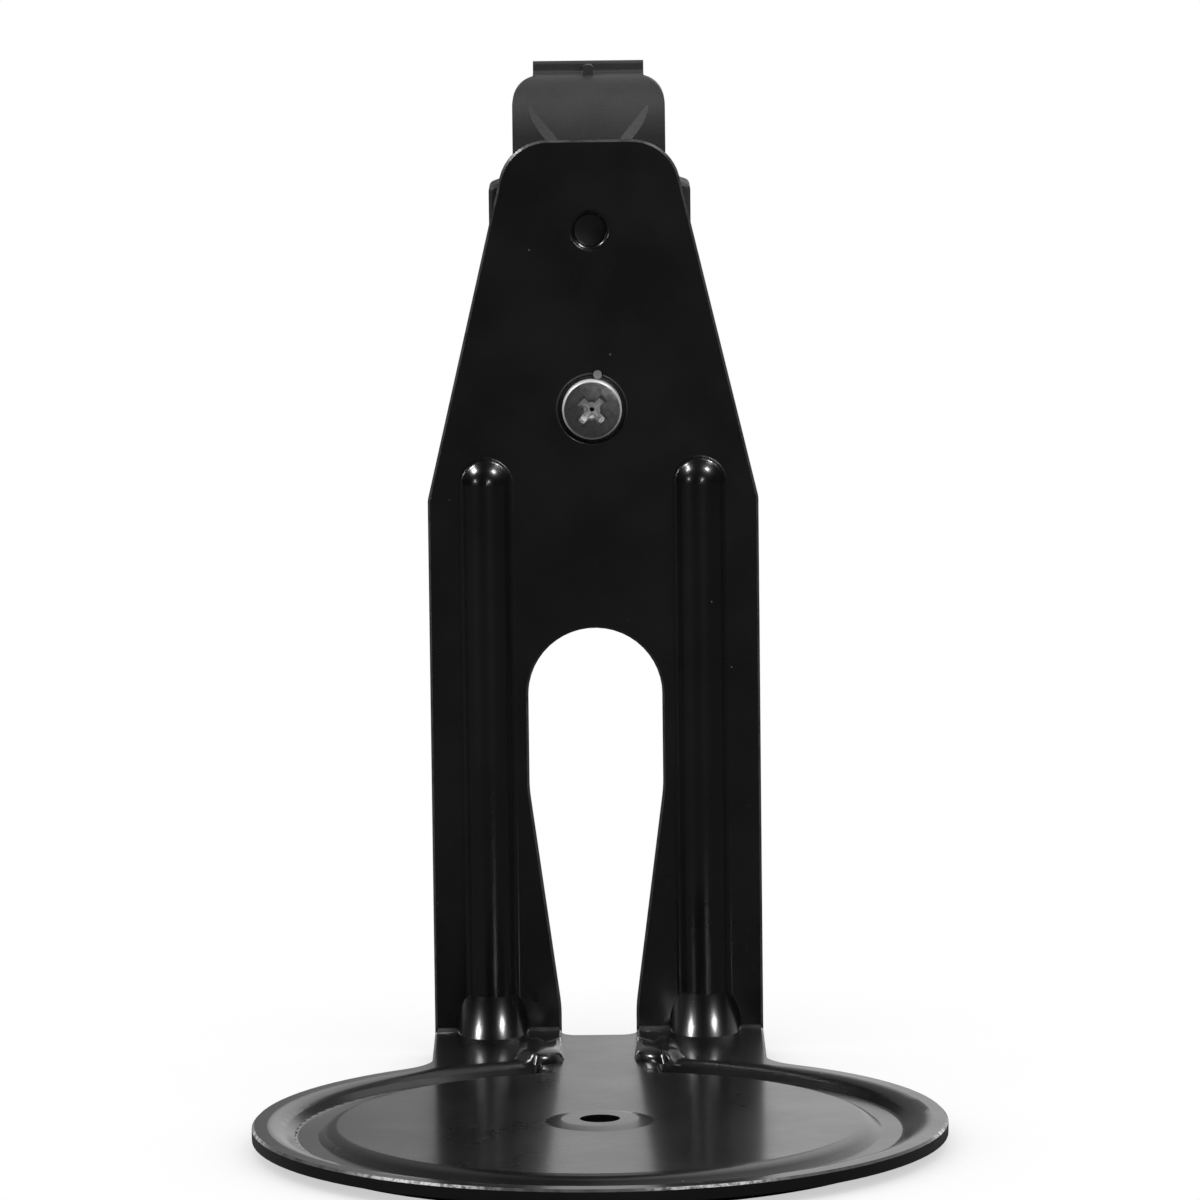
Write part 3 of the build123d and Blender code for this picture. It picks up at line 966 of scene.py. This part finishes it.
@dataclass
class Stand:
    """The pressed steel stand: base, legs and head in one sheet."""

    broken_edge: float = 0.7071
    edge_slack: float = 0.012
    rib_zone: tuple[float, float] = (10.5 * MM, 21.8 * MM)
    rib_top: float = 92.0 * MM
    rim_top: float = 3.8 * MM
    wall_end: float = 47.8 * MM
    crease: tuple[tuple[float, float], ...] = ((70.25 * MM, 70.85 * MM), (3.65 * MM, 4.25 * MM))
    # Share of the lighter edge colour painted on the crease as a highlight.
    crease_highlight: float = 0.7
    flare: tuple[tuple[float, float], ...] = ((8.5 * MM, 24.0 * MM), (3.9 * MM, 13.5 * MM))
    flare_tilt: float = 0.02
    dimple: Lip = Lip(125.8 * MM, 2.35 * MM, 0.85 * MM)
    seat: Lip = Lip(98.8 * MM, 5.1 * MM, 0.4 * MM)
    ribs: tuple[RibBlend, ...] = (RibBlend(-16.15 * MM), RibBlend(16.15 * MM))
    rings: tuple[SoftRing, ...] = (
        SoftRing(5.6 * MM, 7.8 * MM, 3.0, 5.0),
        SoftRing(37.7 * MM, 39.6 * MM, 0.0, 30.0),
        SoftRing(39.6 * MM, 40.5 * MM, 30.0, 26.0),
    )
    dimple_floor: float = 72.4 * MM
    dimple_bowl: float = 30.0 * MM
    middle: RaisedMiddle = field(default_factory=RaisedMiddle)
    paint: BlackPaint = field(default_factory=BlackPaint)

    def build(self) -> bpy.types.Object:
        """Copy the solid, mark its worn edges and painted highlights, lift its middle, round its curves
        and paint it.

        Returns:
            The painted stand.
        """
        piece = Bench.merged_copy(Node.STAND, "stand_painted")
        self.mark_edges(piece)
        self.middle.shape(piece)
        self.round_curves(piece)
        Bench.settle(piece)
        Bench.dress(piece, self.paint.material(), Slot.PAINT, Node.STAND)
        return piece

    def mark_edges(self, piece: bpy.types.Object) -> None:
        """Mark the sheet's broken edges, where the paint is thin and a painted highlight lightens them,
        and the crease at the legs' feet, which is lightened as a painted highlight.

        Args:
            piece: The stand.
        """
        mesh = piece.data
        marks = mesh.attributes.new(EDGE_AND_HIGHLIGHT_MARK, "FLOAT", "FACE")
        curves = mesh.attributes[CURVE_MARK].data
        low, high = self.rib_zone
        for face in mesh.polygons:
            normals = [curves[i].vector for i in face.loop_indices]
            sloped = any(
                all(abs(abs(normal[axis]) - self.broken_edge) < self.edge_slack for normal in normals)
                for axis in (1, 2)
            )
            place = face.center
            ribbed = low < abs(place.x) < high and self.rim_top < place.z < self.rib_top
            walled = math.hypot(place.x, place.y) < self.wall_end and place.z < self.rim_top
            creased = all(self.in_crease(mesh.vertices[i].co) for i in face.vertices)
            broken = float(sloped and not ribbed and not walled)
            # The crease gets a painted highlight. Broken edges get thin paint and a painted highlight.
            marks.data[face.index].value = self.crease_highlight if creased else broken

    def in_crease(self, point: Vector) -> bool:
        """Whether a point lies in the inside bend at the legs' feet."""
        (near, far), (low, high) = self.crease
        return near < point.y < far and low < point.z < high

    def round_curves(self, piece: bpy.types.Object) -> None:
        """Shade the lips, rib blends, base rings, rib feet and dimple's floor as curves.

        Args:
            piece: The stand.
        """
        mesh = piece.data
        curves = mesh.attributes[CURVE_MARK].data
        for face in mesh.polygons:
            points = [mesh.vertices[i].co for i in face.vertices]
            for curve in (self.dimple, self.seat, *self.ribs, *self.rings):
                if all(curve.holds(point) for point in points):
                    for corner, point in zip(face.loop_indices, points):
                        curves[corner].vector = curve.normal(point)
            if self.in_flare(face):
                for corner in face.loop_indices:
                    curves[corner].vector = Vector()
            if all(self.in_bowl(point) for point in points):
                for corner, point in zip(face.loop_indices, points):
                    tilt = self.dimple.across(point) / self.dimple_bowl
                    curves[corner].vector = (Vector((0.0, -1.0, 0.0)) - tilt).normalized()

    def in_flare(self, face: bpy.types.MeshPolygon) -> bool:
        """Whether a face lies on the flared foot of a rib.

        Args:
            face: Face of the stand.

        Returns:
            True on a foot.
        """
        (near, far), (low, high) = self.flare
        ahead = face.center.y < self.dimple.face - self.dimple.slack and face.normal.z > self.flare_tilt
        return ahead and near < abs(face.center.x) < far and low < face.center.z < high

    def in_bowl(self, point: Vector) -> bool:
        """Whether a point lies on the dimple's floor."""
        deep = abs(point.y - self.dimple_floor) < self.dimple.slack
        return deep and self.dimple.across(point).length < self.dimple.inner + self.dimple.slack


@dataclass
class HookBracket:
    """The grey plastic moulding behind the head plate."""

    scoop_floor: float = 74.2 * MM
    scoop_top: float = 144.57 * MM
    roll_tilt: float = 33.3
    roll_slack: float = 0.2 * MM
    wedge_zone: tuple[float, float] = (132.0 * MM, 147.0 * MM)
    wedge_tilt: float = 0.12
    wedge_share: float = 0.25
    slack: float = 0.05 * MM
    plastic: GreyPlastic = field(default_factory=GreyPlastic)

    def build(self) -> bpy.types.Object:
        """Copy the solid, ease its scoop, soften its wedges and give it its plastic.

        Returns:
            The moulding.
        """
        piece = Bench.merged_copy(Node.BRACKET, "bracket_moulding")
        self.ease_scoop(piece)
        self.soften_wedges(piece)
        Bench.settle(piece)
        Bench.dress(piece, self.plastic.material(), Slot.PLASTIC, Node.BRACKET)
        return piece

    def ease_scoop(self, piece: bpy.types.Object) -> None:
        """Let the scoop's floor run softly into the rolled top of the hood.

        Args:
            piece: The moulding.
        """
        mesh = piece.data
        curves = mesh.attributes[CURVE_MARK].data
        turn = math.radians(self.roll_tilt)
        eased = Vector((0.0, -math.cos(turn), math.sin(turn)))
        for face in mesh.polygons:
            points = [mesh.vertices[i].co for i in face.vertices]
            if all(abs(point.y - self.scoop_floor) < self.slack for point in points):
                for corner, point in zip(face.loop_indices, points):
                    if point.z > self.scoop_top - self.roll_slack:
                        curves[corner].vector = eased

    def soften_wedges(self, piece: bpy.types.Object) -> None:
        """Blend the scoop's sloped sides into what lies beside them.

        Args:
            piece: The moulding.
        """
        mesh = piece.data
        curves = mesh.attributes[CURVE_MARK].data
        front = Vector((0.0, -1.0, 0.0))
        low, high = self.wedge_zone
        for face in mesh.polygons:
            ahead, aside = -face.normal.y, abs(face.normal.x)
            if low < face.center.z < high and ahead > self.wedge_tilt and aside > self.wedge_tilt:
                for corner in face.loop_indices:
                    kept = Vector(curves[corner].vector)
                    curves[corner].vector = kept.lerp(front, self.wedge_share).normalized()


@dataclass
class Screw:
    """Pan-head screw with a cross recess and a rolled thread."""

    level: float = 98.8 * MM
    tip: float = 81.8 * MM
    seat: float = 71.8 * MM
    crown: float = 68.5 * MM
    head_radius: float = 4.5 * MM
    brow: float = 0.45 * MM
    brow_steps: int = 8
    brow_turn: float = 10.5
    dome: float = 45.0 * MM
    dome_shares: tuple[float, ...] = (1.0, 0.85, 0.7, 0.55, 0.4, 0.2)
    crest: float = 2.48 * MM
    crest_flat: float = 0.1 * MM
    root: float = 2.05 * MM
    pitch: float = 0.8 * MM
    point: float = 0.6 * MM
    wing_length: float = 6.4 * MM
    wing_width: float = 1.5 * MM
    wing_depth: float = 1.6 * MM
    wing_taper: tuple[float, float] = (0.44, 0.5)
    wing_turns: tuple[float, ...] = (45.0, 135.0)
    well_radius: float = 1.35 * MM
    well_tip: tuple[float, float] = (0.1, 1.1)
    well_wall: tuple[float, float] = (0.9, 0.6)
    well_mouth: tuple[float, float] = (1.0, -1.0)
    well_sides: int = 24
    mouth_angle: float = 40.0
    mouth_reach: float = 0.45 * MM
    mouth_bevel: float = 0.16 * MM
    mouth_segments: int = 2
    sides: int = 72
    smooth_angle: float = 35.0
    zinc: Zinc = field(default_factory=lambda: Zinc("zinc_screw"))

    def build(self) -> bpy.types.Object:
        """Turn the screw, sink its recess and plate it.

        Returns:
            The screw.
        """
        rings = self.shank_rings() + self.head_rings()
        piece = Bench.turned("screw_plated", rings, self.level, self.sides)
        for turn in self.wing_turns:
            Bench.join(piece, self.blade(turn), Cut.AWAY)
        Bench.join(piece, self.well(), Cut.AWAY)
        self.ease_mouth(piece)
        Bench.smooth(piece, self.smooth_angle)
        Bench.dress(piece, self.zinc.material(), Slot.SCREW, Node.SCREW)
        return piece

    def shank_rings(self) -> list[tuple[float, float]]:
        """Rings of the threaded shank.

        Returns:
            Radius and place of each ring, from the tip to the seat.
        """
        rings = [(self.root - self.point / 2, self.tip), (self.root, self.tip - self.point / 2)]
        place = self.tip - self.point
        while place - self.pitch > self.seat:
            rings += [
                (self.crest, place),
                (self.crest, place - self.crest_flat),
                (self.root, place - self.pitch / 2),
                (self.root, place - self.pitch / 2 - self.crest_flat),
            ]
            place -= self.pitch
        return rings + [(self.root, self.seat)]

    def head_rings(self) -> list[tuple[float, float]]:
        """Rings of the pan head.

        Returns:
            Radius and place of each ring, from the seat to the crown.
        """
        shoulder = self.head_radius - self.brow
        top = self.crown + shoulder**2 / (2 * self.dome)
        rings = [(self.head_radius, self.seat)]
        for step in range(self.brow_steps):
            turn = math.radians(step * self.brow_turn)
            out, down = self.brow * math.cos(turn), self.brow * (1.0 - math.sin(turn))
            rings.append((shoulder + out, top + down))
        for share in self.dome_shares:
            radius = shoulder * share
            rings.append((radius, self.crown + radius**2 / (2 * self.dome)))
        return rings

    def blade(self, turn: float) -> bpy.types.Object:
        """Cutter for two opposite wings of the recess.

        Args:
            turn: Turn about the screw's line in degrees.

        Returns:
            The cutter.
        """
        Bench.clear()
        bpy.ops.mesh.primitive_cube_add(
            size=1.0,
            location=(0.0, self.crown, self.level),
            scale=(self.wing_length, 2 * self.wing_depth, self.wing_width),
        )
        cutter = bpy.context.object
        bpy.ops.object.transform_apply(location=False, rotation=False, scale=True)
        bpy.ops.object.mode_set(mode="EDIT")
        bpy.ops.mesh.select_all(action="DESELECT")
        bpy.ops.object.mode_set(mode="OBJECT")
        for corner in cutter.data.vertices:
            corner.select = corner.co.y > 0.0
        bpy.ops.object.mode_set(mode="EDIT")
        along, over = self.wing_taper
        deep = self.crown + self.wing_depth
        bpy.ops.transform.resize(value=(along, 1.0, over), center_override=(0.0, deep, self.level))
        bpy.ops.object.mode_set(mode="OBJECT")
        cutter.rotation_euler = (0.0, math.radians(turn), 0.0)
        bpy.ops.object.transform_apply(location=True, rotation=True, scale=True)
        return cutter

    def well(self) -> bpy.types.Object:
        """Cutter for the round middle of the recess.

        Returns:
            The cutter.
        """
        rings = [
            (self.well_radius * wide, self.crown + self.wing_depth * deep)
            for wide, deep in (self.well_tip, self.well_wall, self.well_mouth)
        ]
        return Bench.turned("well", rings, self.level, self.well_sides)

    def ease_mouth(self, piece: bpy.types.Object) -> None:
        """Round the edge of the recess.

        Args:
            piece: The screw.
        """
        Bench.hold(piece)
        bpy.ops.object.mode_set(mode="EDIT")
        bpy.ops.mesh.select_mode(type="EDGE")
        bpy.ops.mesh.select_all(action="DESELECT")
        bpy.ops.mesh.edges_select_sharp(sharpness=math.radians(self.mouth_angle))
        bpy.ops.object.mode_set(mode="OBJECT")
        mesh = piece.data
        for edge in mesh.edges:
            ends = [mesh.vertices[i].co for i in edge.vertices]
            proud = all(end.y < self.crown + self.mouth_reach for end in ends)
            edge.select = edge.select and proud
        bpy.ops.object.mode_set(mode="EDIT")
        bpy.ops.mesh.bevel(offset=self.mouth_bevel, segments=self.mouth_segments, affect="EDGES")
        bpy.ops.mesh.select_mode(type="VERT")
        bpy.ops.object.mode_set(mode="OBJECT")


@dataclass
class Nut:
    """Hexagon nut in the moulding's pocket."""

    level: float = 98.8 * MM
    back: float = 77.0 * MM
    front: float = 81.0 * MM
    across_flats: float = 8.0 * MM
    corner_turn: float = 30.0
    chamfer: float = 30.0
    slack: float = 0.05 * MM
    bore: float = 2.6 * MM
    sink: float = 0.35 * MM
    blank_sides: int = 72
    bore_sides: int = 48
    smooth_angle: float = 25.0
    zinc: Zinc = field(default_factory=lambda: Zinc("zinc_nut", bright=0.7, gloss=0.28))

    def build(self) -> bpy.types.Object:
        """Cut the nut from hexagon bar, chamfer and bore it, and plate it.

        Returns:
            The nut.
        """
        Bench.clear()
        thick = self.front - self.back
        turn = math.radians(self.corner_turn)
        corner = self.across_flats / 2 / math.cos(turn)
        bpy.ops.mesh.primitive_cylinder_add(
            vertices=6, radius=corner, depth=thick,
            location=(0.0, self.back + thick / 2, self.level),
            rotation=(math.pi / 2, turn, 0.0),
        )
        piece = bpy.context.object
        piece.name = "nut_plated"
        piece.data.name = "nut_plated"
        bpy.ops.object.transform_apply(location=True, rotation=True, scale=True)
        Bench.join(piece, self.turned_blank(corner), Cut.WITHIN)
        Bench.join(piece, self.drill(), Cut.AWAY)
        Bench.smooth(piece, self.smooth_angle)
        Bench.dress(piece, self.zinc.material(), Slot.NUT, Node.NUT)
        return piece

    def turned_blank(self, corner: float) -> bpy.types.Object:
        """Round blank that takes off the hexagon's corners.

        Args:
            corner: Radius at the hexagon's corners.

        Returns:
            The blank.
        """
        flat = self.across_flats / 2 - self.slack
        slope = (corner - flat) * math.tan(math.radians(self.chamfer))
        wide = corner + self.slack
        rings = [
            (flat, self.front), (wide, self.front - slope), (wide, self.back + slope), (flat, self.back),
        ]
        return Bench.turned("blank", rings, self.level, self.blank_sides)

    def drill(self) -> bpy.types.Object:
        """Cutter for the bore with its countersinks.

        Returns:
            The cutter.
        """
        mouth = self.bore + 2 * self.sink
        rings = [
            (mouth, self.front + self.sink),
            (self.bore, self.front - self.sink),
            (self.bore, self.back + self.sink),
            (mouth, self.back - self.sink),
        ]
        return Bench.turned("drill", rings, self.level, self.bore_sides)


@dataclass(frozen=True)
class Lamp:
    """One soft square lamp, placed round the object."""

    name: str
    azimuth: float
    elevation: float
    side: float
    power: float
    distance: float = 1.3

    def hang(self, aim: Vector) -> None:
        """Put the lamp up and point it.

        Args:
            aim: Point that the lamp looks at.
        """
        turn, rise = math.radians(self.azimuth), math.radians(self.elevation)
        towards = Vector((
            math.sin(turn) * math.cos(rise),
            -math.cos(turn) * math.cos(rise),
            math.sin(rise),
        ))
        data = bpy.data.lights.new(self.name, "AREA")
        data.shape = "SQUARE"
        data.size = self.side
        data.energy = self.power
        lamp = bpy.data.objects.new(self.name, data)
        lamp.matrix_world = (
            Matrix.Translation(aim + towards * self.distance)
            @ towards.to_track_quat("Z", "Y").to_matrix().to_4x4()
        )
        bpy.context.scene.collection.objects.link(lamp)


@dataclass
class Studio:
    """Floor, backdrop, lamps and camera."""

    aim: Vector = field(default_factory=lambda: Vector((0.0, 40 * MM, 75 * MM)))
    floor_reach: float = 6.0
    floor_level: float = 0.08
    shade_level: float = 0.55
    shade_reach: float = 60.0 * MM
    shade_samples: int = 8
    backdrop: float = 0.7
    backdrop_span: tuple[float, float] = (0.0, 0.85)
    dark_side: float = 0.02
    dim_left: float = 0.2
    left_span: tuple[float, float] = (-0.055, 0.02)
    lens: float = 240.0
    sensor: float = 36.0
    clip: float = 50.0
    camera_place: Vector = field(default_factory=lambda: Vector((0.00087, -1.1296, 0.2260)))
    camera_pitch: float = 7.419
    camera_roll: float = 0.669
    lamps: tuple[Lamp, ...] = (
        Lamp("lamp_left", -84.0, 47.0, 0.3, 8.5),
        Lamp("lamp_right", 58.0, 54.0, 0.3, 8.5),
        Lamp("lamp_low_left", -52.0, 14.0, 0.16, 1.2),
        Lamp("lamp_low_right", 13.0, 14.0, 0.16, 1.2),
        Lamp("lamp_behind_right", 152.0, 6.0, 0.25, 0.6),
        Lamp("lamp_behind_left", -154.0, 6.0, 0.25, 0.5),
    )

    def build(self) -> None:
        """Put the whole studio up."""
        self.lay_floor()
        self.light_world()
        for lamp in self.lamps:
            lamp.hang(self.aim)
        self.set_camera()
        bpy.context.scene.view_settings.view_transform = "Standard"

    def lay_floor(self) -> None:
        """Lay a pale floor that reads as white and keeps the shadow."""
        Bench.clear()
        bpy.ops.mesh.primitive_plane_add(size=self.floor_reach, location=(0.0, 0.0, 0.0))
        floor = bpy.context.object
        floor.name = "floor"
        made = bpy.data.materials.new("floor_pale")
        made.use_nodes = True
        shop = Shop(made.node_tree)
        matt = shop.node("ShaderNodeBsdfDiffuse", {}, {"Color": grey(self.floor_level)})
        shade = shop.node(
            "ShaderNodeAmbientOcclusion", {"samples": self.shade_samples},
            {"Distance": self.shade_reach}, "AO",
        )
        glow = shop.node("ShaderNodeEmission", {}, {
            "Color": shop.mix(shade, grey(self.shade_level), grey(1.0)),
            "Strength": 1.0,
        })
        shop.close(shop.make("ShaderNodeMixShader", {}, {0: self.seen(shop), 1: matt, 2: glow}))
        floor.data.materials.append(made)

    @staticmethod
    def seen(shop: Shop) -> Socket:
        """Tell the rays that show the white background.

        Args:
            shop: Node tree of the floor or the world.

        Returns:
            One for rays from the camera or through glass, zero for all others.
        """
        rays = shop.make("ShaderNodeLightPath", {}, {})
        straight = Socket(shop, rays.outputs["Is Camera Ray"])
        return straight.most(Socket(shop, rays.outputs["Is Transmission Ray"]))

    def light_world(self) -> None:
        """Set a white background, with a pale room behind the object and a dark one in front."""
        world = bpy.data.worlds.new("studio")
        world.use_nodes = True
        bpy.context.scene.world = world
        shop = Shop(world.node_tree)
        towards = shop.node("ShaderNodeTexCoord", {}, {}, "Generated")
        parts = shop.make("ShaderNodeSeparateXYZ", {}, {0: towards})
        across, along = Socket(shop, parts.outputs["X"]), Socket(shop, parts.outputs["Y"])
        shaded = across.ramp(*self.left_span, self.dim_left, 1.0)
        room = along.ramp(*self.backdrop_span, self.dark_side, self.backdrop) * shaded
        seen = self.seen(shop)
        level = seen + (1.0 - seen) * room
        sky = shop.make("ShaderNodeBackground", {}, {"Color": grey(1.0), "Strength": level})
        end = shop.make("ShaderNodeOutputWorld", {}, {})
        shop.tree.links.new(sky.outputs[0], end.inputs["Surface"])

    def set_camera(self) -> None:
        """Place the camera where the picture was taken from."""
        data = bpy.data.cameras.new("camera")
        data.lens = self.lens
        data.sensor_width = self.sensor
        data.sensor_fit = "HORIZONTAL"
        data.clip_end = self.clip
        camera = bpy.data.objects.new("camera", data)
        camera.matrix_world = (
            Matrix.Translation(self.camera_place)
            @ Matrix.Rotation(math.radians(90.0 - self.camera_pitch), 4, "X")
            @ Matrix.Rotation(math.radians(-self.camera_roll), 4, "Z")
        )
        bpy.context.scene.collection.objects.link(camera)
        bpy.context.scene.camera = camera


def main() -> None:
    """Build every piece in order, then the studio."""
    logging.basicConfig(level=logging.INFO, format="%(message)s")
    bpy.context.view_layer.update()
    Stand().build()
    HookBracket().build()
    Screw().build()
    Nut().build()
    Studio().build()


if __name__ == "__main__":
    main()
